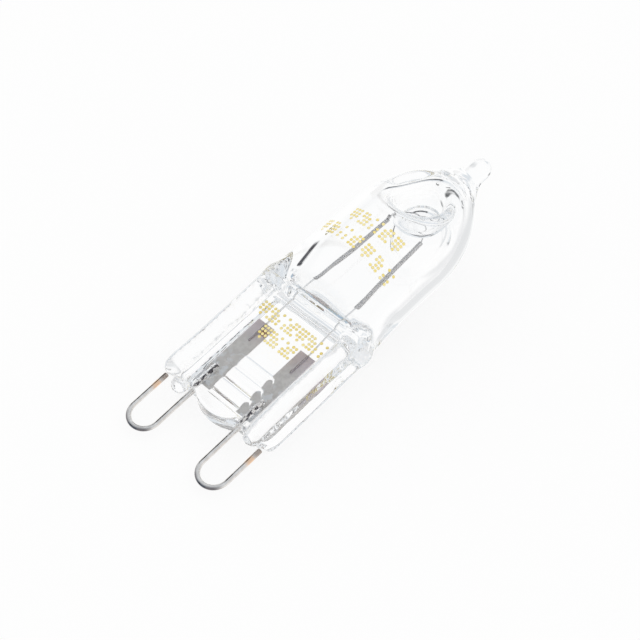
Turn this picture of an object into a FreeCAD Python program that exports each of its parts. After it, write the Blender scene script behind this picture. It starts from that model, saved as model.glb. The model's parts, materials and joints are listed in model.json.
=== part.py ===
"""Halogen capsule bulb with two looped pins, lying on a table as it comes to rest.

The lamp is a quartz glass tube, blown to a barrel-shaped bulb and pressed flat at one end. The pressed
end, the pinch, seals two thin metal foils. Each foil joins a looped contact pin outside to a fine lead
inside the bulb, and the two leads carry the filament.

Lamp axes, used for all the shapes: X from the left pin to the right one, Y from the front broad face of
the pinch to the back one, Z from the pins to the tip. Z is 0 where the pins enter the glass. The last step
lays the finished lamp on its back face. All sizes are in millimetres.
"""
import FreeCAD, Part
import math
import os

from FreeCAD import Vector

# Contact pins, a wire loop each
pin_pitch = 9.0               # between the middles of the two loops
pin_wire_d = 0.5
loop_width = 3.09             # between the centre lines of a loop's two legs
loop_reach = 6.08             # from the glass to the centre line of the bend
pin_sealed = 3.2              # length of the inner leg inside the glass
free_end_gap = 0.35           # from the cut end of the outer leg to the glass
free_end_round = 0.12

# Sealing foils and inner leads
foil_width = 1.98
foil_thickness = 0.05
foil_spread = 2.69            # from the lamp's middle to the middle of a foil
foil_bottom = 0.9
foil_top = 9.34
pin_weld_flat = 0.05          # how deep the weld flattens a pin
lead_d = 0.2
lead_weld = 2.4               # length of a lead that lies on its foil
lead_weld_flat = 0.02

# Filament, a coil on each side and a bare link across the top
coil_d = 0.45
coil_rise = 2.4               # from the middle of the cross bar to the foot of a coil
coil_bottom_spread = 2.6
coil_top_spread = 2.1
filament_shift = -0.27        # the filament stands a little to the left
link_d = 0.12
link_rise = 1.2               # straight part of the link above a coil
link_lean = 0.5               # how far that part leans inwards

# Pinch
pinch_width = 12.3
pinch_thickness = 4.9
web_thickness = 2.4
rail_width = 1.8              # the rails and the cross bar are round bars of this width
flare_radius = 0.4            # hollow rounding between the web and the bars
base_round = 0.35
cross_bar_height = 13.3       # middle of the cross bar
front_drop = {"left": 0.7, "right": 1.2}    # how far the front bars end below the web
back_round = 2.2              # the rails' ends are rounded this much at the back
bead_radius = 0.8             # bead of squeezed glass at the back of the left rail's end
bead_drop = 0.9
bead_inset = 0.6              # from the middle of the back bar towards the lamp's middle plane
tongue_width = 5.4            # bulge of the web between the pins
tongue_thickness = 1.8
tongue_drop = 0.95
tongue_round = 0.5

# Cross ribs pressed into the web
rib_count = 3
rib_pitch = 1.5
rib_first = 1.62
rib_height = 0.2
rib_base = 1.2                # width of a rib at the web
rib_length = 4.4

# Dimples in the narrow sides, where a lamp holder's springs snap in
clip_height = 9.5
clip_offset = 0.9             # towards the back
clip_width = 1.4
clip_depth = 0.3

# Bulb
bulb_d = 11.7
wall = 0.85
shoulder_sink = 0.4           # how far below the middle of the cross bar the bulb's shoulder starts
shoulder_thickness = 3.9
shoulder_width = 12.0
shoulder_rise = 5.3           # from the middle of the cross bar to the round barrel
shoulder_steps = 5            # sections between which the shoulder is lofted
outline_points = 16           # points on a section's outline
flat_power = 5                # squareness of the flat end's outline, where 2 is an ellipse
barrel_length = 5.4
dome_height = 8.7             # the dome is one arc from the barrel to the collar
collar_radius = 2.2           # thicker glass round the foot of the tip
tip_radius = 1.1
tip_foot_radius = 2.0         # where the tip's foot runs into the collar
tip_sunk = 0.5                # how deep the tip's foot starts inside the collar
tip_foot_rise = 1.5           # from the collar to where the tip runs straight
tip_length = 4.3              # from the collar to the tip's end
tip_offset = 0.45             # the tip stands a little to the right

# Hollow inside the bulb
hollow_rise = 0.65            # from the middle of the cross bar to the floor of the hollow
hollow_floor_width = 7.2
hollow_floor_thickness = 4.4
hollow_neck_radius = 0.45     # narrow end of the hollow, below the tip

# Press-ins, front and back, that hold the filament's link
press_drop = 5.3              # from the collar down to the middle of the press-ins
press_over_coils = 1.9        # from the top of the coils up to the middle of the press-ins
press_tip_radius = 2.1
press_mouth_radius = 2.7
press_mouth_round = 1.2       # rounding where the bulb's outside bends into a press-in
press_inner_round = 0.6       # the same in the hollow
press_wall = 0.6
press_outside = 1.0           # how far outside the bulb the press-ins' cones start

bar_radius = rail_width / 2
bar_x = pinch_width / 2 - bar_radius
bar_y = pinch_thickness / 2 - bar_radius
bulb_radius = bulb_d / 2
shoulder_start = cross_bar_height - shoulder_sink
shoulder_top = cross_bar_height + shoulder_rise
barrel_top = shoulder_top + barrel_length
collar_height = barrel_top + dome_height
hollow_floor = cross_bar_height + hollow_rise
press_height = collar_height - press_drop
coil_bottom = cross_bar_height + coil_rise
coil_top = press_height - press_over_coils
tip_foot = collar_height + tip_foot_rise
tip_end = collar_height + tip_length
dome_drop = bulb_radius - collar_radius
dome_radius = (dome_drop ** 2 + dome_height ** 2) / (2 * dome_drop)
pin_radius = pin_wire_d / 2
foil_front = pin_radius - pin_weld_flat
sides = {"left": -1, "right": 1}


def line(start, end):
    return Part.LineSegment(start, end).toShape()


def arc(start, through, end):
    return Part.Arc(start, through, end).toShape()


def rod(start, end, radius):
    """Round rod between two points, with a flat end at each."""
    return Part.makeCylinder(radius, (end - start).Length, start, end - start)


def sweep(edges, radius):
    """Round wire along a path that starts straight along its first edge."""
    path = Part.Wire(edges)
    start = path.OrderedVertexes[0].Point
    direction = path.OrderedEdges[0].tangentAt(path.OrderedEdges[0].FirstParameter)
    section = Part.Wire([Part.makeCircle(radius, start, direction)])
    return path.makePipeShell([section], True, True)


def one_solid(shape):
    """The cleaned shape, which has to be a single solid."""
    shape = shape.removeSplitter()
    if len(shape.Solids) != 1:
        raise ValueError("expected one solid, found %d" % len(shape.Solids))
    return shape.Solids[0]


def contact_pin(side):
    """Hairpin wire. Its inner leg is sealed in the glass and its outer leg ends in the open."""
    middle = side * pin_pitch / 2
    inner = middle - side * loop_width / 2
    outer = middle + side * loop_width / 2
    bend = loop_width / 2 - loop_reach
    sealed_end = Vector(inner, 0, pin_sealed)
    inner_bend = Vector(inner, 0, bend)
    outer_bend = Vector(outer, 0, bend)
    wire = sweep([line(sealed_end, inner_bend),
                  arc(inner_bend, Vector(middle, 0, -loop_reach), outer_bend),
                  line(outer_bend, Vector(outer, 0, -free_end_gap))], pin_radius)
    cut_end = [edge for edge in wire.Edges
               if abs(edge.CenterOfMass.z + free_end_gap) < 1e-6 and edge.Curve.TypeId == "Part::GeomCircle"]
    wire = wire.makeFillet(free_end_round, cut_end)
    corner = Vector(inner - pin_radius, foil_front, foil_bottom)
    return wire.cut(Part.makeBox(pin_wire_d, pin_radius, pin_sealed, corner))


def foil(side):
    """Flat sealing foil behind the pin and the lead that are welded to it."""
    corner = Vector(side * foil_spread - foil_width / 2, foil_front, foil_bottom)
    return Part.makeBox(foil_width, foil_thickness, foil_top - foil_bottom, corner)


def inner_lead(side):
    """Fine wire from the foil to the foot of the coil."""
    radius = lead_d / 2
    level = foil_front + lead_weld_flat - radius
    low = Vector(side * foil_spread, level, foil_top - lead_weld)
    knee = Vector(side * foil_spread, level, foil_top + lead_d)
    high = Vector(filament_shift + side * coil_bottom_spread, 0, coil_bottom)
    run = high - knee
    past = high + run * (coil_d / run.Length)
    wire = rod(low, knee, radius).fuse([Part.makeSphere(radius, knee), rod(knee, past, radius)])
    above = Part.makeBox(coil_d * 4, coil_d * 4, coil_d * 2, high - Vector(coil_d * 2, coil_d * 2, 0))
    weld = Part.makeBox(lead_d, radius, lead_weld, Vector(low.x - radius, foil_front, low.z))
    return one_solid(wire.cut([above, weld]))


def filament():
    """The two coils as plain rods of the coil's outer size, and the bare link arched across their tops."""
    coils = []
    starts = []
    for side in sides.values():
        foot = Vector(filament_shift + side * coil_bottom_spread, 0, coil_bottom)
        head = Vector(filament_shift + side * coil_top_spread, 0, coil_top)
        run = (head - foot).normalize()
        coil = rod(foot - run * coil_d, head, coil_d / 2)
        room = 2 * coil_d
        below = Part.makeBox(2 * room, 2 * room, room, foot - Vector(room, room, room))
        coils.append(coil.cut(below))
        starts.append(head - run * coil_d)
    middle = Vector(filament_shift, 0, 0)
    rise = link_rise + coil_d
    bend_x = coil_top_spread - link_lean
    bend_z = coil_top + link_rise
    centre_z = bend_z - bend_x * link_lean / link_rise
    arch_top = centre_z + math.hypot(bend_x, bend_z - centre_z)
    left_bend = middle + Vector(-bend_x, 0, bend_z)
    right_bend = middle + Vector(bend_x, 0, bend_z)
    lean = link_lean * rise / link_rise
    left_foot = left_bend - Vector(lean, 0, rise)
    right_foot = right_bend - Vector(-lean, 0, rise)
    link = sweep([line(left_foot, left_bend),
                  arc(left_bend, middle + Vector(0, 0, arch_top), right_bend),
                  line(right_bend, right_foot)], link_d / 2)
    return one_solid(link.fuse(coils))


def pinch_section():
    """Cross-section of the pinch: a web between two rails with round front and back."""
    half_web = web_thickness / 2
    reach = bar_radius + flare_radius
    sink = half_web + flare_radius - bar_y
    flare_x = bar_x - math.sqrt(reach ** 2 - sink ** 2)
    share = bar_radius / reach
    meet = Vector(bar_x + (flare_x - bar_x) * share, bar_y + sink * share, 0)
    turn = math.atan2(sink, flare_x - bar_x) / 2 + math.pi / 4
    over = Vector(bar_x + bar_radius * math.cos(turn), bar_y + bar_radius * math.sin(turn), 0)
    low = math.atan2(-flare_radius, 0)
    up = math.atan2(meet.y - half_web - flare_radius, meet.x - flare_x)
    half_way = (low + up) / 2
    hollow = Vector(flare_x + flare_radius * math.cos(half_way),
                    half_web + flare_radius + flare_radius * math.sin(half_way), 0)
    foot = Vector(flare_x, half_web, 0)
    side_top = Vector(bar_x + bar_radius, bar_y, 0)

    def flip(point, x_sign, y_sign):
        return Vector(point.x * x_sign, point.y * y_sign, 0)

    edges = [line(flip(foot, -1, 1), foot), arc(foot, hollow, meet), arc(meet, over, side_top),
             line(side_top, flip(side_top, 1, -1)),
             arc(flip(side_top, 1, -1), flip(over, 1, -1), flip(meet, 1, -1)),
             arc(flip(meet, 1, -1), flip(hollow, 1, -1), flip(foot, 1, -1)),
             line(flip(foot, 1, -1), flip(foot, -1, -1)),
             arc(flip(foot, -1, -1), flip(hollow, -1, -1), flip(meet, -1, -1)),
             arc(flip(meet, -1, -1), flip(over, -1, -1), flip(side_top, -1, -1)),
             line(flip(side_top, -1, -1), flip(side_top, -1, 1)),
             arc(flip(side_top, -1, 1), flip(over, -1, 1), flip(meet, -1, 1)),
             arc(flip(meet, -1, 1), flip(hollow, -1, 1), flip(foot, -1, 1))]
    return Part.Face(Part.Wire(edges))


def pinch_frame():
    """The pressed web with its rails, cross bars and the bars' ball ends."""
    body = pinch_section().extrude(Vector(0, 0, cross_bar_height))
    base_edges = [edge for edge in body.Edges if edge.BoundBox.ZMax < 1e-6]
    body = body.makeFillet(base_round, base_edges)
    body = body.cut(back_corner())
    parts = []
    for name, side in sides.items():
        top = Vector(side * bar_x, 0, cross_bar_height)
        parts.append(rod(top - Vector(0, bar_y, 0), top + Vector(0, bar_y, 0), bar_radius))
        parts.extend(Part.makeSphere(bar_radius, top + Vector(0, face * bar_y, 0)) for face in (-1, 1))
        low = Vector(side * bar_x, -bar_y, bar_radius - front_drop[name])
        parts.extend([rod(low, top - Vector(0, bar_y, 0), bar_radius), Part.makeSphere(bar_radius, low)])
    for face in (-1, 1):
        start = Vector(-bar_x, face * bar_y, cross_bar_height)
        end = Vector(bar_x, face * bar_y, cross_bar_height)
        parts.append(rod(start, end, bar_radius))
        parts.append(cross_flare(face))
    bead = Vector(-bar_x + base_round, bar_y - bead_inset, bead_radius - bead_drop)
    parts.append(Part.makeSphere(bead_radius, bead))
    parts.append(rod(bead, Vector(bead.x, bead.y, back_round), bead_radius))
    return body.fuse(parts)


def back_corner():
    """What is rounded off the back corner at the rails' end."""
    length = 2 * pinch_width
    size = 2 * back_round
    start = Vector(-pinch_width, pinch_thickness / 2 - back_round, back_round)
    block = Part.makeBox(length, size, size, start - Vector(0, 0, size))
    return block.cut(Part.makeCylinder(back_round, length, start, Vector(1, 0, 0)))


def cross_flare(face):
    """Hollow rounding where the web meets the lower side of a cross bar."""
    half_web = web_thickness / 2
    reach = bar_radius + flare_radius
    sink = half_web + flare_radius - bar_y
    drop = math.sqrt(reach ** 2 - sink ** 2)
    share = bar_radius / reach
    foot = Vector(-bar_x, face * half_web, cross_bar_height - drop)
    meet = Vector(-bar_x, face * (bar_y + sink * share), cross_bar_height - drop * share)
    up = math.atan2(meet.y * face - half_web - flare_radius, meet.z - foot.z)
    half_way = (up - math.pi / 2) / 2
    hollow = Vector(-bar_x, face * (half_web + flare_radius + flare_radius * math.sin(half_way)),
                    foot.z + flare_radius * math.cos(half_way))
    bar_middle = Vector(-bar_x, face * bar_y, cross_bar_height)
    deep_high = Vector(-bar_x, face * half_web / 2, cross_bar_height)
    deep_low = Vector(-bar_x, face * half_web / 2, foot.z)
    section = Part.Face(Part.Wire([arc(foot, hollow, meet), line(meet, bar_middle),
                                   line(bar_middle, deep_high), line(deep_high, deep_low),
                                   line(deep_low, foot)]))
    return section.extrude(Vector(2 * bar_x, 0, 0))


def tongue():
    """Rounded bulge of the web's end between the pins, a slice of a disc with a round rim."""
    half = tongue_width / 2
    radius = (half ** 2 + tongue_drop ** 2) / (2 * tongue_drop)
    centre = Vector(0, -tongue_thickness / 2, radius - tongue_drop)
    disc = Part.makeCylinder(radius, tongue_thickness, centre, Vector(0, 1, 0))
    rims = [edge for edge in disc.Edges if edge.Curve.TypeId == "Part::GeomCircle"]
    disc = disc.makeFillet(tongue_round, rims)
    slice_height = tongue_drop + 2 * base_round
    keep = Part.makeBox(2 * radius, 2 * tongue_thickness, slice_height,
                        Vector(-radius, -tongue_thickness, -tongue_drop))
    return disc.common(keep)


def ribs():
    """Low round ribs across both faces of the web."""
    radius = (rib_base ** 2 / 4 + rib_height ** 2) / (2 * rib_height)
    shapes = []
    for face in (-1, 1):
        crown = face * (web_thickness / 2 + rib_height)
        for number in range(rib_count):
            height = rib_first + number * rib_pitch
            axis = Vector(-rib_length / 2, crown - face * radius, height)
            round_bar = Part.makeCylinder(radius, rib_length, axis, Vector(1, 0, 0))
            corner = Vector(axis.x, crown - (face + 1) * rib_height, height - rib_pitch / 2)
            shapes.append(round_bar.common(Part.makeBox(rib_length, rib_height * 2, rib_pitch, corner)))
    return shapes


def rounded_section(height, half_width, half_thickness, power):
    """Closed outline between an ellipse, with power 2, and a rounded rectangle."""
    points = []
    for number in range(outline_points):
        angle = 2 * math.pi * number / outline_points
        across, through = math.cos(angle), math.sin(angle)
        points.append(Vector(half_width * math.copysign(abs(across) ** (2 / power), across),
                             half_thickness * math.copysign(abs(through) ** (2 / power), through), height))
    curve = Part.BSplineCurve()
    curve.interpolate(points, PeriodicFlag=True)
    return Part.Wire([curve.toShape()])


def shoulder(floor, floor_width, floor_thickness, radius):
    """Loft from the flat pinch to the round barrel, as full in thickness as a quarter ellipse."""
    sections = []
    for number in range(shoulder_steps):
        turn = math.pi / 2 * number / shoulder_steps
        height = floor + (shoulder_top - floor) * (1 - math.cos(turn))
        full = math.sin(turn)
        half_width = floor_width / 2 + (radius - floor_width / 2) * full
        half_thickness = floor_thickness / 2 + (radius - floor_thickness / 2) * full
        power = flat_power + (2 - flat_power) * full
        sections.append(rounded_section(height, half_width, half_thickness, power))
    ring = Part.makeCircle(radius, Vector(0, 0, shoulder_top))
    sections.append(Part.Wire([ring]))
    return Part.makeLoft(sections, True, False)


def bulb_body(inset):
    """Turned bulb from the top of the shoulder up, moved into the glass by inset."""
    centre = Vector(bulb_radius - dome_radius, 0, barrel_top)
    radius = dome_radius - inset
    end_x = hollow_neck_radius if inset else collar_radius
    end_angle = math.acos((end_x - centre.x) / radius)
    barrel_foot = Vector(bulb_radius - inset, 0, shoulder_top)
    barrel_head = Vector(bulb_radius - inset, 0, barrel_top)
    half_way = centre + Vector(radius * math.cos(end_angle / 2), 0, radius * math.sin(end_angle / 2))
    dome_end = centre + Vector(radius * math.cos(end_angle), 0, radius * math.sin(end_angle))
    outline = [line(barrel_foot, barrel_head), arc(barrel_head, half_way, dome_end)]
    head = dome_end
    if not inset:
        head = Vector((collar_radius + tip_radius) / 2, 0, (collar_height + tip_foot) / 2)
        outline.append(line(dome_end, head))
    top = Vector(0, 0, head.z)
    foot = Vector(0, 0, shoulder_top)
    outline += [line(head, top), line(top, foot), line(foot, barrel_foot)]
    return Part.Face(Part.Wire(outline)).revolve(Vector(0, 0, 0), Vector(0, 0, 1), 360)


def tip():
    """Drawn-off end of the exhaust tube, with a hollow rounding at its foot and a round end."""
    sunk = Vector(tip_offset, 0, collar_height - tip_sunk)
    side_low = Vector(tip_offset, 0, tip_foot)
    side_high = Vector(tip_offset, 0, tip_end - tip_radius)
    foot_curve = Part.BezierCurve()
    foot_curve.setPoles([sunk + Vector(tip_foot_radius, 0, 0),
                         Vector(tip_offset + tip_radius, 0, collar_height),
                         side_low + Vector(tip_radius, 0, 0)])
    edges = [line(sunk, sunk + Vector(tip_foot_radius, 0, 0)), foot_curve.toShape(),
             line(side_low + Vector(tip_radius, 0, 0), side_low), line(side_low, sunk)]
    foot = Part.Face(Part.Wire(edges)).revolve(sunk, Vector(0, 0, 1), 360)
    return foot.fuse([rod(side_low, side_high, tip_radius), Part.makeSphere(tip_radius, side_high)])


def press_in(face, extra):
    """Blunt cone from outside the wall towards the filament's link, thicker all round by extra."""
    tip_y = face * (link_d / 2 + press_wall - extra)
    mouth_y = face * (bulb_radius + press_outside)
    tip_r = press_tip_radius + extra
    mouth_r = press_mouth_radius + extra
    cone = Part.makeCone(tip_r, mouth_r, abs(mouth_y - tip_y), Vector(0, tip_y, press_height),
                         Vector(0, face, 0))
    blunt = [edge for edge in cone.Edges if abs(edge.CenterOfMass.y - tip_y) < 1e-6
             and edge.Curve.TypeId == "Part::GeomCircle"]
    return cone.makeFillet(tip_r / 2, blunt)


def clip_dimples():
    """Balls that leave shallow round dimples when cut out of the two narrow sides."""
    radius = (clip_width ** 2 / 4 + clip_depth ** 2) / (2 * clip_depth)
    out = pinch_width / 2 - clip_depth + radius
    return [Part.makeSphere(radius, Vector(side * out, clip_offset, clip_height)) for side in sides.values()]


def pressed(bulb, extra, rounding):
    """The bulb or its hollow with both press-ins cut out, each thicker by extra, and the mouths rounded."""
    bulb = bulb.cut([press_in(face, extra) for face in (-1, 1)])
    mouths = [edge for edge in bulb.Edges if edge.Curve.TypeId == "Part::GeomBSplineCurve"
              and abs(edge.BoundBox.Center.z - press_height) < press_mouth_radius]
    return bulb.makeFillet(rounding, mouths)


def glass_envelope(sealed):
    """Bulb and pinch as one hollow piece of glass, closed tight round everything sealed into it."""
    bulb = pressed(bulb_body(0), 0, press_mouth_round)
    flat_end = shoulder(shoulder_start, shoulder_width, shoulder_thickness, bulb_radius)
    outer = pinch_frame().fuse([tongue(), flat_end, bulb, tip()] + ribs())
    outer = outer.cut(clip_dimples())
    hollow = pressed(bulb_body(wall), press_wall, press_inner_round)
    hollow = hollow.fuse(shoulder(hollow_floor, hollow_floor_width, hollow_floor_thickness,
                                  bulb_radius - wall))
    return one_solid(outer.cut([hollow] + sealed))


def lying_angle():
    """Angle between the lamp's axis and the table, touching it with the bulb and the rails' back ends."""
    length = shoulder_top - shoulder_start
    height = bulb_radius - shoulder_thickness / 2
    low, high = 0.0, math.pi / 4
    for _ in range(50):
        angle = (low + high) / 2
        down, along = math.cos(angle), math.sin(angle)
        ball = (pinch_thickness / 2 - back_round) * down - back_round * along + back_round
        bulb = shoulder_thickness / 2 * down - shoulder_top * along
        bulb += math.hypot(length * along, height * down)
        if bulb > ball:
            low = angle
        else:
            high = angle
    return low


def lay_down(nodes):
    """Turns the lamp onto its back and sets it on the table, with the origin under its middle."""
    angle = lying_angle()
    turn = FreeCAD.Rotation(Vector(0, -1, 0), Vector(math.sin(angle), 0, -math.cos(angle)),
                            Vector(math.cos(angle), 0, math.sin(angle)), "ZXY")
    for shape in nodes.values():
        shape.Placement = FreeCAD.Placement(Vector(0, 0, 0), turn) * shape.Placement
    box = Part.Compound(list(nodes.values())).optimalBoundingBox()
    shift = Vector(-box.Center.x, -box.Center.y, -box.ZMin)
    for shape in nodes.values():
        shape.translate(shift)
    print("lying angle %.4f degrees, glass end at %s" % (math.degrees(angle), shift))


def main():
    os.makedirs("parts", exist_ok=True)
    nodes = {}
    for name, side in sides.items():
        nodes["contact_pin_" + name] = contact_pin(side)
        nodes["foil_" + name] = foil(side)
        nodes["inner_lead_" + name] = inner_lead(side)
    sealed = list(nodes.values())
    nodes["filament"] = filament()
    nodes["glass_envelope"] = glass_envelope(sealed)
    lay_down(nodes)
    for name, shape in nodes.items():
        print(name, shape.isValid(), len(shape.Solids), round(shape.Volume, 3), shape.optimalBoundingBox())
        shape.exportStep("parts/" + name + ".step")


main()
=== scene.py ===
"""Halogen capsule bulb, dressed for the render.

All lamp sizes are in millimetres in the lamp's own axes: X from the left pin to the right one, Y from the
front broad face of the pinch to the back one, Z from the pins to the tip, with Z 0 at the glass end. The
frame's base mount says where those axes lie in the row frame, which is in metres.

The glass is one distance field, negative inside the glass, that surface_net turns into a mesh. A blend is
the size of the rounding where two parts of the field meet.
"""
import json
import math

import bpy
import numpy as np
from mathutils import Matrix, Vector


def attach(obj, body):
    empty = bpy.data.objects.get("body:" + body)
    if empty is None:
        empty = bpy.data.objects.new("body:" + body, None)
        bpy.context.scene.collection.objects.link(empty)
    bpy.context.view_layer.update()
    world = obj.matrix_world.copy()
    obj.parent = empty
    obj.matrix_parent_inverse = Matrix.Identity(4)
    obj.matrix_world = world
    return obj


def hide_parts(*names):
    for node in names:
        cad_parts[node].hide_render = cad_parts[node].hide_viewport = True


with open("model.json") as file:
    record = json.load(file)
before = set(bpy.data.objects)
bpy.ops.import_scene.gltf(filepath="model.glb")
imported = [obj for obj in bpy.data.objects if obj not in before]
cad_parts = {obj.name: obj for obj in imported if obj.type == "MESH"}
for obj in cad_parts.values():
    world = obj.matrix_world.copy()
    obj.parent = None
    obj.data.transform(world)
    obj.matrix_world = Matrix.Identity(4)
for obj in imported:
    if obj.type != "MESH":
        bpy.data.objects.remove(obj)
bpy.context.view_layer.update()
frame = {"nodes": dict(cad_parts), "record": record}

MM = 0.001
SIDES = (-1, 1)                 # left and right, or front and back

# Pins, hairpin loops of wire
PIN_PITCH = 9.0
LOOP_WIDTH = 3.09
LOOP_REACH = 6.08
PIN_RADIUS = 0.25
PIN_SEALED = 3.2
PIN_BEND = LOOP_WIDTH / 2 - LOOP_REACH

# Air gap round the sealed leg of a pin: its foot, how far short of the leg's end it stops, its size and the
# waves of its wall
VOID_START = -2.0
VOID_SHORT = 0.2
VOID_GAP = 0.1
VOID_WAVE = 0.06
VOID_TURN = 7.0
VOID_SLANT = 4.0
VOID_PHASE = 1.5

# Filament
COIL_D = 0.45
COIL_TURNS = 84
COIL_STEPS = 14                 # points a turn
COIL_WIRE = 0.05                # radius
COIL_SIDES = 6
COIL_BOTTOM = 15.7
COIL_TOP = 25.5
COIL_BOTTOM_SPREAD = 2.6
COIL_TOP_SPREAD = 2.1
FILAMENT_SHIFT = -0.27
LINK_D = 0.12
LINK_RISE = 1.2
LINK_LEAN = 0.5
LINK_SUNK = 0.1                 # into the heads of the coils
LINK_STEPS = 25
LINK_SIDES = 8

# Web, the pressed plate
HALF_WEB = 1.2
BASE_ROUND = 0.3
TONGUE_WIDTH = 5.4
TONGUE_DROP = 0.95
TONGUE_ROOT = 1.0
RIB_COUNT = 3
RIB_PITCH = 1.5
RIB_FIRST = 1.62
RIB_HEIGHT = 0.38
RIB_BACK_HEIGHT = 0.15
RIB_POWER = 4
RIB_MIDDLE = 0.42
RIB_FLAT = 1.85
RIB_END = 0.65
RIB_SLANT = 0.5
RIB_FADE = (-0.05, 0.1)

# Side rails, cross bars and the holder's dimples
BAR_X = 5.25
BAR_Y = 1.55
BAR_RADIUS = 0.9
BAR_FLAT = 0.05
CROSS_BAR_HEIGHT = 13.3
FRONT_DROP = {-1: 0.7, 1: 1.2}
FRONT_BLEND = 0.25
BACK_ROUND = 2.2
BACK_BLEND = 0.3
BEAD = (-4.9, 0.95, -0.1)
BEAD_RADIUS = 0.8
BEAD_BLEND = 0.35
PINCH_BLEND = 0.5
CLIP_HEIGHT = 9.5
CLIP_OFFSET = 0.9
CLIP_WIDTH = 1.4
CLIP_DEPTH = 0.3
CLIP_BLEND = 0.15
SIDE_LIMIT = 6.2
SIDE_BLEND = 0.1

# Bulb
BULB_RADIUS = 5.85
WALL = 0.85
BULB_BLEND = 0.7
SHOULDER_START = 12.9
SHOULDER_TOP = 18.6
SHOULDER_HALF = (6.0, 1.95)
FLAT_POWER = 5.0
LEAST_RISE = 0.02
BARREL_TOP = 24.0
DOME_LEAN = 0.25                # the dome was blown a little to the right
DOME_LEAN_SPAN = (22.0, 30.0)
HOLLOW_START = 13.4
HOLLOW_HALF = (4.2, 1.2)
HOLLOW_POWER = 4.5
HOLLOW_LEAN = 0.4
HOLLOW_FLOOR = 13.95
HOLLOW_ROUND = 1.0

# Collar and drawn-off tip
COLLAR_RADIUS = 2.2
COLLAR_PROUD = 0.05
COLLAR_HEIGHT = 32.7
COLLAR_LENGTH = 1.2
COLLAR_BEVEL = 0.45
COLLAR_BEVEL_BLEND = 0.5
COLLAR_FOOT_BLEND = 0.4
COLLAR_BLEND = 0.3
TIP_RADIUS = 1.1
TIP_ROOT = 1.0
TIP_END = 37.0
TIP_OFFSET = 0.45
TIP_BLEND = 0.9

# Press-ins, blunt cones from both faces towards the filament's link
PRESS_HEIGHT = 27.4
PRESS_TIP_RADIUS = 2.1
PRESS_MOUTH_RADIUS = 2.7
PRESS_WALL = 0.6
PRESS_OUTSIDE = 1.0
PRESS_ROUND = 0.6               # share of the tip's radius that is rounded off
PRESS_BLEND = 2.2
PRESS_INNER_BLEND = 1.0

DOME_DROP = BULB_RADIUS - COLLAR_RADIUS
DOME_RADIUS = (DOME_DROP ** 2 + (COLLAR_HEIGHT - BARREL_TOP) ** 2) / (2 * DOME_DROP)

# Slight unevenness of glass that was worked hot. Each wave has a height, says whether it is on the pinch's
# sides only, and is a product of sines, each given by its turns along X, Y and Z and its phase.
RIPPLES = (
    (0.03, False, ((0.9, 0.0, 0.0, 1.3), (0.0, 0.8, 0.0, 0.4), (0.0, 0.0, 0.5, 2.1))),
    (0.02, True, ((3.1, 0.0, 1.7, 0.0), (0.0, 2.7, -2.3, 0.8), (0.0, 1.1, 2.9, 0.0))),
    (0.006, True, ((0.0, 4.1, 6.3, 0.0), (5.7, 0.0, -4.9, 2.0))),
)
RIPPLE_SIDE = (3.9, 4.6)
RIPPLE_TOP = (13.0, 16.0)

# How finely the glass is meshed. A pass moves a vertex by no more than the share of a grid step.
GLASS_STEP = 0.18
GLASS_LOW = (-6.5, -6.3, -2.0)
GLASS_HIGH = (6.5, 6.3, 37.4)
PROBE = 0.01
NET_PASSES = 4
NET_SHARE = 0.4
LEAST_SLOPE = 0.05

# Glass
GLASS_IOR = 1.46
GLASS_NOISE = 400
GLASS_BUMP = 0.15
GLASS_BUMP_HEIGHT = 0.00002

# Metals: dark and light colour, size of the mottles, metallic share and roughness
METALS = {
    "pin_metal": ((0.74, 0.71, 0.68), (0.86, 0.83, 0.80), 0.5, 1.0, 0.12),
    "lead_metal": ((0.90, 0.89, 0.88), (0.98, 0.97, 0.96), 0.3, 0.9, 0.25),
    "foil_metal": ((0.78, 0.74, 0.70), (0.92, 0.88, 0.84), 0.55, 0.3, 0.5),
    "filament_metal": ((0.84, 0.82, 0.82), (0.98, 0.96, 0.95), 0.3, 0.3, 0.3),
    "mark_gold": ((0.92, 0.74, 0.22), (0.97, 0.85, 0.42), 0.5, 0.1, 0.4),
}
METAL_CLOUDS = (0.35, 0.65)
SHINE_SPREAD = 0.05

# In what follows, a pair of places is where a tint starts and where it is full, and clouds have their size,
# the share at which they start and the share at which they are full.

# Heat tints of the pins' free legs: lowest and highest place on Z, and colour
PIN_TINTS = (
    (-2.2, -1.3, (0.88, 0.62, 0.44)),
    (-1.2, -0.2, (0.44, 0.38, 0.34)),
)
PIN_TINT_FADE = (0.35, 0.2)     # half of the soft step below and above a tint
PIN_FREE_LEG = (0.2, 0.6)       # outwards from the loop's middle
# Painted shade on the outside of the bends, standing in for dark reflections: places off the bend's centre,
# and on Z
PIN_BEND_SHADE_REACH = (1.50, 1.76)
PIN_BEND_SHADE_START = (-4.9, -5.9)
PIN_BEND_SHADE = (0.16, 0.15, 0.16)
# Painted dark reflections on the sealed legs, in cloudy patches: where they start on Z, their clouds and
# their colour
PIN_SEALED_SHADE_START = (0.3, 0.6)
PIN_SEALED_SHADE_CLOUDS = (0.45, 0.45, 0.52)
PIN_SEALED_SHADE = (0.06, 0.05, 0.06)

# Leads, welded to their foils, and foils
FOIL_END = 9.34
LEAD_WELD_FADE = 0.1
LEAD_WELD = (0.38, 0.34, 0.36)
FOIL_TOP_START = (6.2, 9.0)
FOIL_TOP = (0.84, 0.74, 0.78)
FOIL_PALE_START = (6.0, 4.0)
FOIL_PALE_CLOUDS = (0.7, 0.5, 0.58)
FOIL_PALE = (1.0, 1.0, 1.0)
FOIL_SPOT_X = -2.05
FOIL_SPOT_Z = 8.45
FOIL_SPOT_REACH_X = (0.55, 0.35)
FOIL_SPOT_REACH_Z = (0.45, 0.2)
FOIL_SPOT_CLOUDS = (0.4, 0.4, 0.55)
FOIL_SPOT = (0.36, 0.12, 0.06)

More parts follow.
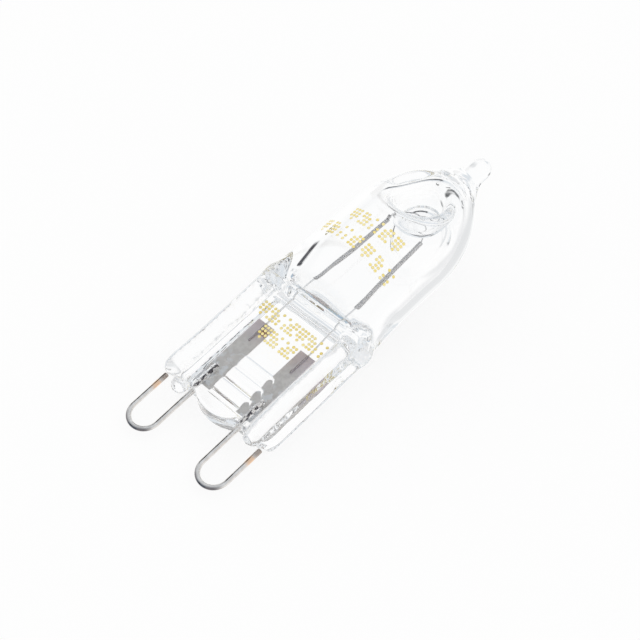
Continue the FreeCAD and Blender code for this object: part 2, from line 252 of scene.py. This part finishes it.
# Stamped dots. A row lies on the bulb or on the pinch. Its start and end are places across, which on the
# bulb is measured round it, and up.
MARK_ROWS = (
    (True, (-2.55, 20.75), (4.05, 20.75), 5),
    (True, (-4.75, 18.70), (5.75, 17.90), 7),
    (False, (-3.95, 9.55), (4.25, 9.55), 7),
    (False, (-2.15, 7.60), (2.15, 7.60), 4),
)
MARK_COLUMNS = 3
MARK_LINES = 4
MARK_PITCH = (0.36, 0.40)
MARK_RADIUS = 0.165
MARK_TOP = 0.85                 # share of the radius at the top of a dot
MARK_LIFT = 0.012
MARK_SIDES = 8
MARK_OFF_WEB = 0.1              # from where the search for the pinch's surface starts

# Room: its floor, its upper half's tint, and the cards that the glass's edges and the wires show. A card
# has its span in azimuth and in elevation in degrees, with azimuth 0 along the row's +X, its softness and
# its colour.
FLOOR_REACH = 2.0
FLOOR_COLOUR = (0.9, 0.9, 0.9)
FLOOR_ROUGHNESS = 0.9
FLOOR_GLOW = 0.88
WHITE = (1.0, 1.0, 1.0)
SKY = (0.74, 0.78, 0.82)
SKY_START = (0, 12)
CARDS = (
    ((78, 98), (-15, -4), 2.5, (0.03, 0.03, 0.04)),
    ((26, 60), (5, 26), 3, (0.04, 0.04, 0.05)),
    ((2, 18), (-37, -31), 2, (0.05, 0.05, 0.05)),
    ((15, 20), (-27, -21), 1, (0.05, 0.05, 0.05)),
    ((-35, 10), (-60, -22), 7, (0.77, 0.78, 0.79)),
    ((132, 178), (-35, 25), 4, (0.38, 0.48, 0.58)),
    ((92, 128), (-76, -58), 4, (0.72, 0.76, 0.80)),
    ((-90, -50), (-5, 45), 5, (0.82, 0.82, 0.83)),
    ((77, 87), (8, 62), 3, (0.02, 0.02, 0.02)),
    ((144, 152), (-10, 20), 3, (0.02, 0.02, 0.02)),
)
GLASS_BOUNCES = 64

# Camera at the photograph's viewing angle, with the frame taken as 640 by 640: its axes and its place in
# the lamp's own axes
CAMERA_RIGHT = (0.7216, 0.0876, 0.6867)
CAMERA_DOWN = (0.5404, 0.5488, -0.6378)
CAMERA_FORWARD = (-0.4327, 0.8314, 0.3487)
CAMERA_EYE = (64.64, -123.06, -38.60)
CAMERA_LENS = 90
CAMERA_SENSOR = 36
CAMERA_NEAR = 0.01


def lamp_matrix():
    """Row frame from lamp axes, read off the frame's base mount, whose axis points out of the pinch."""
    mount = frame["record"]["mounts"][0]
    up = -Vector(mount["axis"]).normalized()
    right = Vector((0, -1, 0))
    back = up.cross(right)
    turn = Matrix((right, back, up)).transposed().to_4x4()
    return Matrix.Translation(Vector(mount["pos_m"])) @ turn @ Matrix.Scale(MM, 4)


LAMP = lamp_matrix()


# ---- Distance fields ----

def union(a, b, blend):
    """Both shapes, with a hollow rounding of about that size where they meet."""
    share = np.clip(0.5 + 0.5 * (b - a) / blend, 0, 1)
    return b + (a - b) * share - blend * share * (1 - share)


def cut(a, b, blend):
    """Shape a without b, with the new edge rounded."""
    return -union(-a, b, blend)


def common(a, b, blend):
    """What lies in both shapes, with the new edge rounded."""
    return -union(-a, -b, blend)


def smooth_step(value, low, high):
    share = np.clip((value - low) / (high - low), 0, 1)
    return share * share * (3 - 2 * share)


def capsule(x, y, z, start, end, radius):
    """Distance to a round bar with ball ends."""
    run = np.subtract(end, start)
    along = (x - start[0]) * run[0] + (y - start[1]) * run[1] + (z - start[2]) * run[2]
    share = np.clip(along / (run @ run), 0, 1)
    return np.sqrt((x - start[0] - run[0] * share) ** 2 + (y - start[1] - run[1] * share) ** 2
                   + (z - start[2] - run[2] * share) ** 2) - radius


def box(x, y, z, low, high, radius):
    """Distance to a box with rounded edges."""
    far = []
    for value, start, end in zip((x, y, z), low, high):
        far.append(np.abs(value - (start + end) / 2) - (end - start) / 2 + radius)
    outside = np.sqrt(sum(np.maximum(part, 0) ** 2 for part in far))
    return outside + np.minimum(np.maximum.reduce(far), 0) - radius


def web(x, y, z):
    """The pressed plate, whose end bulges out between the pins, thicker where the cross ribs run."""
    bulge = ((TONGUE_WIDTH / 2) ** 2 + TONGUE_DROP ** 2) / (2 * TONGUE_DROP)
    disc = np.hypot(x, z - bulge + TONGUE_DROP) - bulge
    slab = np.maximum(np.maximum(np.abs(x) - BAR_X, -z), z - CROSS_BAR_HEIGHT)
    out = np.minimum(slab, np.maximum(disc, z - TONGUE_ROOT)) + BASE_ROUND
    through = np.abs(y) - HALF_WEB + BASE_ROUND
    plate = np.hypot(np.maximum(out, 0), np.maximum(through, 0)) + np.minimum(np.maximum(out, through), 0)
    return plate - BASE_ROUND - rib_height(x, y, z)


def rib_height(x, y, z):
    """How far the cross ribs stand out of the web. Their ends are round and slanted."""
    half = RIB_PITCH / 2
    middle = RIB_FIRST + (RIB_COUNT - 1) * half
    turn = np.mod(z - RIB_FIRST + half, RIB_PITCH) - half
    end = np.clip((np.abs(x - RIB_MIDDLE) - RIB_FLAT + RIB_SLANT * turn) / RIB_END, 0, 1)
    crown = (1 - np.abs(turn / half) ** RIB_POWER) * np.sqrt(1 - end ** 2)
    crown = crown * np.where(y < 0, RIB_HEIGHT, RIB_BACK_HEIGHT)
    start, stop = (RIB_COUNT * half + reach for reach in RIB_FADE)
    return crown * (1 - smooth_step(np.abs(z - middle), start, stop))


def rails(x, y, z):
    """The two thick sides of the pinch, round in front and at the back."""
    columns = []
    for side in SIDES:
        column = box(x, y, z, (side * BAR_X - BAR_RADIUS, -BAR_Y - BAR_RADIUS, 0),
                     (side * BAR_X + BAR_RADIUS, BAR_Y + BAR_RADIUS, CROSS_BAR_HEIGHT + BAR_RADIUS),
                     BAR_RADIUS - BAR_FLAT)
        corner_y = np.maximum(y - (BAR_Y + BAR_RADIUS - BACK_ROUND), 0)
        corner_z = np.maximum(BACK_ROUND - z, 0)
        column = common(column, np.hypot(corner_y, corner_z) - BACK_ROUND, BACK_BLEND)
        front = capsule(x, y, z, (side * BAR_X, -BAR_Y, BAR_RADIUS - FRONT_DROP[side]),
                        (side * BAR_X, -BAR_Y, CROSS_BAR_HEIGHT), BAR_RADIUS)
        columns.append(union(column, front, FRONT_BLEND))
    bead = capsule(x, y, z, BEAD, (BEAD[0], BEAD[1], BACK_ROUND), BEAD_RADIUS)
    return union(np.minimum(*columns), bead, BEAD_BLEND)


def cross_bars(x, y, z):
    """The bars across the top of the pinch, in front and at the back."""
    return np.minimum(*(capsule(x, y, z, (-BAR_X, face * BAR_Y, CROSS_BAR_HEIGHT),
                                (BAR_X, face * BAR_Y, CROSS_BAR_HEIGHT), BAR_RADIUS) for face in SIDES))


def shoulder_and_barrel(x, y, z, start, flat_half, flat_power, radius):
    """From a flat rounded slab at the start to a round tube at the top of the shoulder."""
    rise = np.clip((z - start) / (SHOULDER_TOP - start), LEAST_RISE, 1)
    full = np.sqrt(1 - (1 - rise) ** 2)
    half_x = flat_half[0] + (radius - flat_half[0]) * full
    half_y = flat_half[1] + (radius - flat_half[1]) * full
    power = flat_power + (2 - flat_power) * full
    size = ((np.abs(x) / half_x) ** power + (np.abs(y) / half_y) ** power + 1e-12) ** (1 / power)
    out = np.hypot(x, y) + 1e-6
    slope = (radius - flat_half[1]) * (1 - rise) / full / (SHOULDER_TOP - start)
    distance = out * (1 - 1 / size) / np.sqrt(1 + (slope * np.abs(y) / out) ** 2)
    return np.maximum(distance, start - z)


def dome(x, y, z):
    """A single arc turned about the axis."""
    return np.hypot(np.hypot(x, y) - BULB_RADIUS + DOME_RADIUS, z - BARREL_TOP) - DOME_RADIUS


def press_in(x, y, z, extra):
    """Both cones, larger by extra all round."""
    tip = LINK_D / 2 + PRESS_WALL - extra
    mouth = BULB_RADIUS + PRESS_OUTSIDE
    tip_radius = PRESS_TIP_RADIUS + extra
    lean = (PRESS_MOUTH_RADIUS - PRESS_TIP_RADIUS) / (mouth - tip)
    side = (np.hypot(x, z - PRESS_HEIGHT) - tip_radius - lean * (np.abs(y) - tip)) / math.hypot(1, lean)
    return common(side, tip - np.abs(y), tip_radius * PRESS_ROUND)


def bulb_lean(z):
    return DOME_LEAN * smooth_step(z, *DOME_LEAN_SPAN)


def bulb_outside(x, y, z):
    x = x - bulb_lean(z)
    barrel = shoulder_and_barrel(x, y, z, SHOULDER_START, SHOULDER_HALF, FLAT_POWER, BULB_RADIUS)
    bulb = np.where(z > BARREL_TOP, dome(x, y, z), barrel)
    out = np.hypot(x, y)
    bevel = (out + z - COLLAR_HEIGHT - COLLAR_RADIUS - COLLAR_BEVEL) / math.sqrt(2)
    collar = common(out - COLLAR_RADIUS - COLLAR_PROUD, bevel, COLLAR_BEVEL_BLEND)
    collar = common(collar, COLLAR_HEIGHT - COLLAR_LENGTH - z, COLLAR_FOOT_BLEND)
    bulb = union(bulb, collar, COLLAR_BLEND)
    tip_x = TIP_OFFSET - DOME_LEAN
    tip = capsule(x, y, z, (tip_x, 0, COLLAR_HEIGHT - TIP_ROOT), (tip_x, 0, TIP_END - TIP_RADIUS),
                  TIP_RADIUS)
    bulb = union(bulb, tip, TIP_BLEND)
    return cut(bulb, press_in(x, y, z, 0), PRESS_BLEND)


def bulb_inside(x, y, z):
    x = x - bulb_lean(z)
    low_x = x - HOLLOW_LEAN * (1 - smooth_step(z, HOLLOW_FLOOR, SHOULDER_TOP))
    barrel = shoulder_and_barrel(low_x, y, z, HOLLOW_START, HOLLOW_HALF, HOLLOW_POWER, BULB_RADIUS - WALL)
    hollow = np.where(z > BARREL_TOP, dome(x, y, z) + WALL, barrel)
    hollow = common(hollow, HOLLOW_FLOOR - z, HOLLOW_ROUND)
    return cut(hollow, press_in(x, y, z, PRESS_WALL), PRESS_INNER_BLEND)


def clip_dimples(x, y, z):
    """Balls that dent the rails where the holder's side springs snap in."""
    radius = (CLIP_WIDTH ** 2 / 4 + CLIP_DEPTH ** 2) / (2 * CLIP_DEPTH)
    out = BAR_X + BAR_RADIUS - CLIP_DEPTH + radius
    return np.sqrt((np.abs(x) - out) ** 2 + (y - CLIP_OFFSET) ** 2 + (z - CLIP_HEIGHT) ** 2) - radius


def pin_voids(x, y, z):
    """Thin air gap that the seal leaves round the sealed leg of each pin."""
    inner = (PIN_PITCH - LOOP_WIDTH) / 2
    wave = np.sin(VOID_TURN * z + VOID_PHASE * np.sign(x)) * np.cos(2 * VOID_TURN * y + VOID_SLANT * x)
    gap = PIN_RADIUS + VOID_GAP + VOID_WAVE * wave
    return capsule(np.abs(x), y, z, (inner, 0, VOID_START), (inner, 0, PIN_SEALED - VOID_SHORT), gap)


def ripple(x, y, z):
    side = smooth_step(np.abs(x), *RIPPLE_SIDE) * (1 - smooth_step(z, *RIPPLE_TOP))
    total = 0
    for height, side_only, sines in RIPPLES:
        wave = height * side if side_only else height
        for turn_x, turn_y, turn_z, phase in sines:
            wave = wave * np.sin(turn_x * x + turn_y * y + turn_z * z + phase)
        total = total + wave
    return total


def glass(x, y, z):
    pinch = union(web(x, y, z), rails(x, y, z), PINCH_BLEND)
    pinch = union(pinch, cross_bars(x, y, z), PINCH_BLEND)
    outside = union(pinch, bulb_outside(x, y, z), BULB_BLEND) + ripple(x, y, z)
    outside = cut(outside, clip_dimples(x, y, z), CLIP_BLEND)
    outside = common(outside, np.abs(x) - SIDE_LIMIT, SIDE_BLEND)
    hollow = np.minimum(bulb_inside(x, y, z), pin_voids(x, y, z))
    return np.maximum(outside, -hollow)


def gradient(shape, points):
    """Direction in which the distance grows, at each point."""
    parts = []
    for axis in range(3):
        step = np.zeros(3)
        step[axis] = PROBE
        parts.append(shape(*(points + step).T) - shape(*(points - step).T))
    return np.stack(parts, axis=1) / (2 * PROBE)


def outward(point, lift):
    """Point moved to that far above the glass's outside, and the direction in which the surface faces."""
    point = np.array([point], float)
    for _ in range(NET_PASSES):
        normal = gradient(glass, point)
        normal /= np.linalg.norm(normal)
        point = point - normal * (glass(*point.T) - lift)
    return point[0], normal[0]


# ---- Meshes ----

def surface_net(shape, low, high, step):
    """Vertices and quads of a shape's surface on a regular grid, with each vertex moved onto the surface."""
    axes = [np.arange(start, end + step, step) for start, end in zip(low, high)]
    field = shape(*np.meshgrid(*axes, indexing="ij"))
    cells = tuple(size - 1 for size in field.shape)
    total = np.zeros(cells + (3,))
    count = np.zeros(cells)
    crossings = []
    for axis in range(3):
        near = field[tuple(slice(None, -1) if a == axis else slice(None) for a in range(3))]
        far = field[tuple(slice(1, None) if a == axis else slice(None) for a in range(3))]
        where = np.argwhere((near < 0) != (far < 0))
        first = near[tuple(where.T)]
        place = where.astype(float)
        place[:, axis] += first / (first - far[tuple(where.T)])
        crossings.append((where, first < 0))
        others = [a for a in range(3) if a != axis]
        for back in ((0, 0), (0, 1), (1, 0), (1, 1)):
            cell = where.copy()
            cell[:, others] -= back
            good = np.all((cell >= 0) & (cell < cells), axis=1)
            np.add.at(total, tuple(cell[good].T), place[good])
            np.add.at(count, tuple(cell[good].T), 1)
    used = count > 0
    number = np.full(cells, -1)
    number[used] = np.arange(used.sum())
    points = total[used] / count[used][:, None] * step + np.array(low)
    quads = []
    for axis, (where, falls) in enumerate(crossings):
        others = [(axis + 1) % 3, (axis + 2) % 3]
        good = np.all(where[:, others] > 0, axis=1)
        where, falls = where[good], falls[good]
        corners = []
        for back in ((1, 1), (0, 1), (0, 0), (1, 0)):
            cell = where.copy()
            cell[:, others] -= back
            corners.append(number[tuple(cell.T)])
        ring = np.stack(corners, axis=1)
        ring[~falls] = ring[~falls][:, ::-1]
        quads.append(ring)
    for _ in range(NET_PASSES):
        slope = gradient(shape, points)
        steep = np.maximum((slope ** 2).sum(axis=1), LEAST_SLOPE)
        move = slope * (shape(*points.T) / steep)[:, None]
        length = np.maximum(np.linalg.norm(move, axis=1), 1e-9)
        move *= np.minimum(1, step * NET_SHARE / length)[:, None]
        points = points - move
    return points, np.concatenate(quads)


def tube(points, radius, sides):
    """Vertices and faces of a round wire along points."""
    points = np.asarray(points, float)
    run = np.gradient(points, axis=0)
    run /= np.linalg.norm(run, axis=1)[:, None]
    first = np.cross(run, (0.0, 1.0, 0.0))
    weak = np.linalg.norm(first, axis=1) < 0.2
    first[weak] = np.cross(run[weak], (0.0, 0.0, 1.0))
    first /= np.linalg.norm(first, axis=1)[:, None]
    second = np.cross(run, first)
    angles = np.arange(sides) * 2 * math.pi / sides
    rings = (points[:, None] + radius * (first[:, None] * np.cos(angles)[None, :, None]
                                         + second[:, None] * np.sin(angles)[None, :, None]))
    faces = []
    for ring in range(len(points) - 1):
        for side in range(sides):
            after = (side + 1) % sides
            faces.append((ring * sides + side, ring * sides + after,
                          (ring + 1) * sides + after, (ring + 1) * sides + side))
    faces.append(tuple(reversed(range(sides))))
    faces.append(tuple((len(points) - 1) * sides + side for side in range(sides)))
    return rings.reshape(-1, 3), faces


def joined(parts):
    """Points and faces of several meshes as one."""
    points, faces, start = [], [], 0
    for part_points, part_faces in parts:
        points.append(part_points)
        faces.extend(tuple(start + index for index in face) for face in part_faces)
        start += len(part_points)
    return np.concatenate(points), faces


def link_mesh(name, points, faces, material):
    """Mesh object from points in the row's metres."""
    mesh = bpy.data.meshes.new(name)
    mesh.from_pydata(points, [], faces)
    mesh.update()
    mesh.materials.append(material)
    obj = bpy.data.objects.new(name, mesh)
    bpy.context.scene.collection.objects.link(obj)
    return obj


def add_mesh(name, points, faces, material):
    """Mesh object from points in lamp millimetres."""
    turned = np.asarray(points) @ np.array(LAMP.to_3x3()).T + np.array(LAMP.translation)
    return link_mesh(name, turned.tolist(), [list(map(int, face)) for face in faces], material)


# ---- Materials ----

class Graph:
    """Shader nodes of a material or of the world. A value is a socket, a number or a colour."""

    def __init__(self, owner):
        owner.use_nodes = True
        self.nodes = owner.node_tree.nodes
        self.links = owner.node_tree.links

    def feed(self, node, **values):
        """Set or link inputs by their names, in which an underscore stands for a space."""
        for name, value in values.items():
            self.put(node.inputs[name.replace("_", " ")], value)

    def put(self, socket, value):
        if isinstance(value, bpy.types.NodeSocket):
            self.links.new(value, socket)
        elif socket.type == "RGBA":
            socket.default_value = (*value, 1)
        else:
            socket.default_value = value

    def add(self, kind, **values):
        node = self.nodes.new("ShaderNode" + kind)
        self.feed(node, **values)
        return node

    def math(self, operation, *values):
        node = self.add("Math")
        node.operation = operation
        for socket, value in zip(node.inputs, values):
            self.put(socket, value)
        return node.outputs[0]

    def product(self, first, *others):
        for other in others:
            first = self.math("MULTIPLY", first, other)
        return first

    def fade(self, value, low, high):
        """0 below low and 1 above high, with a soft step between them. Low may be the larger one."""
        node = self.add("MapRange", Value=value, From_Min=low, From_Max=high)
        node.interpolation_type = "SMOOTHSTEP"
        return node.outputs["Result"]

    def off(self, value, middle):
        return self.math("ABSOLUTE", self.math("SUBTRACT", value, middle))

    def blend(self, share, first, second):
        node = self.add("Mix")
        node.data_type = "RGBA"
        self.feed(node, Factor=share)
        for socket, colour in zip((entry for entry in node.inputs if entry.type == "RGBA"), (first, second)):
            self.put(socket, colour)
        return [entry for entry in node.outputs if entry.type == "RGBA"][0]

    def clouds(self, place, size, low, high):
        """Cloudy share between 0 and 1, whose clouds are about size millimetres across."""
        noise = self.add("TexNoise", Vector=place, Scale=1 / size, Detail=4)
        return self.fade(noise.outputs["Fac"], low, high)

    def rays(self, *kinds):
        """1 for rays of the named kinds, else 0."""
        path = self.add("LightPath").outputs
        share = path[kinds[0]]
        for kind in kinds[1:]:
            share = self.math("MAXIMUM", share, path[kind])
        return share

    def lamp_place(self):
        """The shaded point in the lamp's own millimetres, whole and by axis."""
        back = LAMP.inverted()
        turn = self.add("Mapping", Vector=self.add("TexCoord").outputs["Object"], Location=back.translation,
                        Rotation=back.to_3x3().normalized().to_euler(), Scale=(1 / MM, 1 / MM, 1 / MM))
        place = turn.outputs[0]
        return place, self.add("SeparateXYZ", Vector=place).outputs


def new_material(name):
    """Material, its graph and its shader."""
    material = bpy.data.materials.new(name)
    graph = Graph(material)
    return material, graph, graph.nodes["Principled BSDF"]


def glass_material():
    """Clear quartz with very slight waviness."""
    material, graph, shader = new_material("quartz_glass")
    noise = graph.add("TexNoise", Vector=graph.add("TexCoord").outputs["Object"], Scale=GLASS_NOISE, Detail=1)
    bump = graph.add("Bump", Strength=GLASS_BUMP, Distance=GLASS_BUMP_HEIGHT, Height=noise.outputs["Fac"])
    graph.feed(shader, Base_Color=WHITE, Roughness=0.0, IOR=GLASS_IOR, Transmission_Weight=1.0,
               Normal=bump.outputs["Normal"])
    return material


def metal_material(name):
    """Drawn or rolled metal, mottled between two colours, with an uneven shine."""
    dark, light, size, metallic, roughness = METALS[name]
    material, graph, shader = new_material(name)
    place, axes = graph.lamp_place()
    share = graph.clouds(place, size, *METAL_CLOUDS)
    colour = graph.blend(share, dark, light)
    shine = graph.add("MapRange", Value=share, To_Min=roughness - SHINE_SPREAD,
                      To_Max=roughness + SHINE_SPREAD)
    graph.feed(shader, Base_Color=colour, Metallic=metallic, Roughness=shine.outputs["Result"])
    return material, graph, shader, place, axes, colour


def pin_material():
    """Bright wire with a heat tint near the cut end of each free leg, painted shade on the outside of the
    bends and painted dark reflections on the sealed legs.
    """
    material, graph, shader, place, axes, colour = metal_material("pin_metal")
    aside = graph.math("ABSOLUTE", axes["X"])
    free = graph.fade(aside, *(PIN_PITCH / 2 + out for out in PIN_FREE_LEG))
    below, above = PIN_TINT_FADE
    for low, high, tint in PIN_TINTS:
        share = graph.product(free, graph.fade(axes["Z"], low - below, low + below),
                              graph.fade(axes["Z"], high + above, high - above))
        colour = graph.blend(share, colour, tint)
    # Painted dark reflections on the sealed legs, in cloudy patches
    sealed_shade = graph.product(graph.fade(axes["Z"], *PIN_SEALED_SHADE_START), graph.clouds(place, *PIN_SEALED_SHADE_CLOUDS))
    colour = graph.blend(sealed_shade, colour, PIN_SEALED_SHADE)
    # Painted shade on the outside of the bends, standing in for dark reflections
    off_x = graph.math("SUBTRACT", aside, PIN_PITCH / 2)
    off_z = graph.math("SUBTRACT", axes["Z"], PIN_BEND)
    off = graph.math("SQRT", graph.math("ADD", graph.product(off_x, off_x), graph.product(off_z, off_z)))
    bend_shade = graph.product(graph.fade(off, *PIN_BEND_SHADE_REACH), graph.fade(axes["Z"], *PIN_BEND_SHADE_START))
    graph.feed(shader, Base_Color=graph.blend(bend_shade, colour, PIN_BEND_SHADE))
    return material


def lead_material():
    """Thin bright wire, dull where it was welded to its foil."""
    material, graph, shader, _, axes, colour = metal_material("lead_metal")
    free = graph.fade(axes["Z"], FOIL_END - LEAD_WELD_FADE, FOIL_END + LEAD_WELD_FADE)
    graph.feed(shader, Base_Color=graph.blend(free, LEAD_WELD, colour))
    return material


def foil_material():
    """Dull foil: purple where it got hot at its top, pale blotches lower down and a red-brown spot."""
    material, graph, shader, place, axes, colour = metal_material("foil_metal")
    colour = graph.blend(graph.fade(axes["Z"], *FOIL_TOP_START), colour, FOIL_TOP)
    pale = graph.product(graph.clouds(place, *FOIL_PALE_CLOUDS), graph.fade(axes["Z"], *FOIL_PALE_START))
    colour = graph.blend(pale, colour, FOIL_PALE)
    spot = graph.product(graph.fade(graph.off(axes["X"], FOIL_SPOT_X), *FOIL_SPOT_REACH_X),
                         graph.fade(graph.off(axes["Z"], FOIL_SPOT_Z), *FOIL_SPOT_REACH_Z),
                         graph.clouds(place, *FOIL_SPOT_CLOUDS))
    graph.feed(shader, Base_Color=graph.blend(spot, colour, FOIL_SPOT))
    return material


def repaint(node, material):
    obj = frame["nodes"][node]
    obj.data.materials.clear()
    obj.data.materials.append(material)


# ---- Pieces ----

def coil_points(side):
    """Helix of one coil, from its foot to its head."""
    foot = np.array((FILAMENT_SHIFT + side * COIL_BOTTOM_SPREAD, 0, COIL_BOTTOM))
    head = np.array((FILAMENT_SHIFT + side * COIL_TOP_SPREAD, 0, COIL_TOP))
    run = head - foot
    along = run / np.linalg.norm(run)
    across = np.cross(along, (0.0, 1.0, 0.0))
    through = np.cross(along, across)
    steps = np.arange(COIL_TURNS * COIL_STEPS + 1)
    angle = steps * 2 * math.pi / COIL_STEPS
    share = steps / steps[-1]
    return (foot + run * share[:, None] + (COIL_D / 2 - COIL_WIRE) * (across * np.cos(angle)[:, None]
                                                                      + through * np.sin(angle)[:, None]))


def link_points():
    """Bare link between the coils: an arc with an end in each coil's head."""
    bend_x = COIL_TOP_SPREAD - LINK_LEAN
    bend_z = COIL_TOP + LINK_RISE
    centre_z = bend_z - bend_x * LINK_LEAN / LINK_RISE
    radius = math.hypot(bend_x, bend_z - centre_z)
    end = math.atan2(bend_z - centre_z, bend_x)
    arc = [(FILAMENT_SHIFT + radius * math.cos(angle), 0, centre_z + radius * math.sin(angle))
           for angle in np.linspace(math.pi - end, end, LINK_STEPS)]
    left, right = [(FILAMENT_SHIFT + side * COIL_TOP_SPREAD, 0, COIL_TOP - LINK_SUNK) for side in SIDES]
    return [left, *arc, right]


def add_filament(material):
    parts = [tube(coil_points(side), COIL_WIRE, COIL_SIDES) for side in SIDES]
    parts.append(tube(link_points(), LINK_D / 2, LINK_SIDES))
    obj = add_mesh("filament_coils", *joined(parts), material)
    obj.data.shade_smooth()
    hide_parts("filament")
    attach(obj, "root")


def add_glass(material):
    points, quads = surface_net(glass, GLASS_LOW, GLASS_HIGH, GLASS_STEP)
    obj = add_mesh("glass_body", points, quads, material)
    obj.data.shade_smooth()
    normals = gradient(glass, points)
    normals /= np.maximum(np.linalg.norm(normals, axis=1), 1e-9)[:, None]
    normals = normals @ np.array(LAMP.to_3x3().normalized()).T
    obj.data.normals_split_custom_set_from_vertices(normals.tolist())
    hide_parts("glass_envelope")
    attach(obj, "root")


def mark_places():
    """Start of the search for the glass at each dot. A fixed pattern leaves out about a quarter of them."""
    for bulb, start, end, cells in MARK_ROWS:
        run = np.subtract(end, start)
        along = run / np.hypot(*run)
        up = np.array((-along[1], along[0]))
        for cell in range(cells):
            corner = np.array(start) + run * cell / cells
            for column in range(MARK_COLUMNS):
                for row in range(MARK_LINES):
                    if (2 * column + 3 * row + 5 * cell + column * row) % 4 == 0:
                        continue
                    across, height = corner + along * (column * MARK_PITCH[0]) + up * (row * MARK_PITCH[1])
                    if bulb:
                        angle = across / BULB_RADIUS
                        yield BULB_RADIUS * math.sin(angle), -BULB_RADIUS * math.cos(angle), height
                    else:
                        yield across, -HALF_WEB - MARK_OFF_WEB, height


def dot(place):
    """A dot that stands as far out of the glass as it is sunk into it."""
    centre, normal = outward(place, MARK_LIFT)
    first = np.cross(normal, (0.0, 0.0, 1.0))
    first /= np.linalg.norm(first)
    second = np.cross(normal, first)
    points, faces = [], []
    for drop, radius in ((2 * MARK_LIFT, MARK_RADIUS), (0, MARK_RADIUS * MARK_TOP)):
        for side in range(MARK_SIDES):
            angle = side * 2 * math.pi / MARK_SIDES
            points.append(centre - normal * drop
                          + radius * (first * math.cos(angle) + second * math.sin(angle)))
    for side in range(MARK_SIDES):
        after = (side + 1) % MARK_SIDES
        faces.append((side, MARK_SIDES + side, MARK_SIDES + after, after))
    faces.append(tuple(range(MARK_SIDES)))
    faces.append(tuple(MARK_SIDES + side for side in reversed(range(MARK_SIDES))))
    return points, faces


def add_marks(material):
    """Rows of stamped dots on the front of the bulb and of the pinch. They spell nothing."""
    obj = add_mesh("stamped_dots", *joined(dot(place) for place in mark_places()), material)
    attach(obj, "root")


def add_floor():
    """Pale floor. Light that has gone through the glass doesn't see it, but the room behind it."""
    material, graph, shader = new_material("floor_white")
    graph.feed(shader, Base_Color=FLOOR_COLOUR, Roughness=FLOOR_ROUGHNESS)
    mix = graph.add("MixShader", Fac=graph.math("MULTIPLY", graph.rays("Is Camera Ray"), FLOOR_GLOW))
    graph.put(mix.inputs[1], shader.outputs[0])
    graph.put(mix.inputs[2], graph.add("Emission").outputs[0])
    graph.feed(graph.nodes["Material Output"], Surface=mix.outputs[0])
    corners = [(x * FLOOR_REACH, y * FLOOR_REACH, 0) for x, y in ((-1, -1), (1, -1), (1, 1), (-1, 1))]
    floor = link_mesh("floor", corners, [(0, 1, 2, 3)], material)
    floor.visible_transmission = False
    floor.visible_glossy = False


def add_room():
    """White room that glass and metal see with dark and grey cards in it, and that lights evenly."""
    world = bpy.data.worlds.new("room")
    bpy.context.scene.world = world
    graph = Graph(world)
    axes = graph.add("SeparateXYZ", Vector=graph.add("TexCoord").outputs["Generated"]).outputs
    azimuth = graph.math("DEGREES", graph.math("ARCTAN2", axes["Y"], axes["X"]))
    elevation = graph.math("DEGREES", graph.math("ARCSINE", axes["Z"]))
    colour = graph.blend(graph.fade(elevation, *SKY_START), WHITE, SKY)
    for across, up, soft, shade in CARDS:
        shares = []
        for value, (low, high) in ((azimuth, across), (elevation, up)):
            half = (high - low) / 2
            shares.append(graph.fade(graph.off(value, (low + high) / 2), half + soft, half - soft))
        colour = graph.blend(graph.product(*shares), colour, shade)
    colour = graph.blend(graph.rays("Is Glossy Ray", "Is Transmission Ray"), WHITE, colour)
    graph.feed(graph.nodes["Background"], Color=colour)


def add_camera():
    data = bpy.data.cameras.new("camera")
    data.lens = CAMERA_LENS
    data.sensor_width = CAMERA_SENSOR
    data.clip_start = CAMERA_NEAR
    camera = bpy.data.objects.new("camera", data)
    bpy.context.scene.collection.objects.link(camera)
    turn = LAMP.to_3x3().normalized()
    basis = Matrix((turn @ Vector(CAMERA_RIGHT), turn @ -Vector(CAMERA_DOWN),
                    turn @ -Vector(CAMERA_FORWARD))).transposed()
    camera.matrix_world = Matrix.Translation(LAMP @ Vector(CAMERA_EYE)) @ basis.to_4x4()
    bpy.context.scene.camera = camera


def main():
    bpy.context.scene.view_settings.view_transform = "Standard"
    cycles = bpy.context.scene.cycles
    cycles.max_bounces = cycles.transmission_bounces = cycles.glossy_bounces = GLASS_BOUNCES
    add_camera()
    add_floor()
    add_room()
    pin_metal = pin_material()
    foil_metal = foil_material()
    lead_metal = lead_material()
    for side in ("left", "right"):
        repaint("contact_pin_" + side, pin_metal)
        repaint("foil_" + side, foil_metal)
        repaint("inner_lead_" + side, lead_metal)
    add_filament(metal_material("filament_metal")[0])
    add_glass(glass_material())
    add_marks(metal_material("mark_gold")[0])


main()
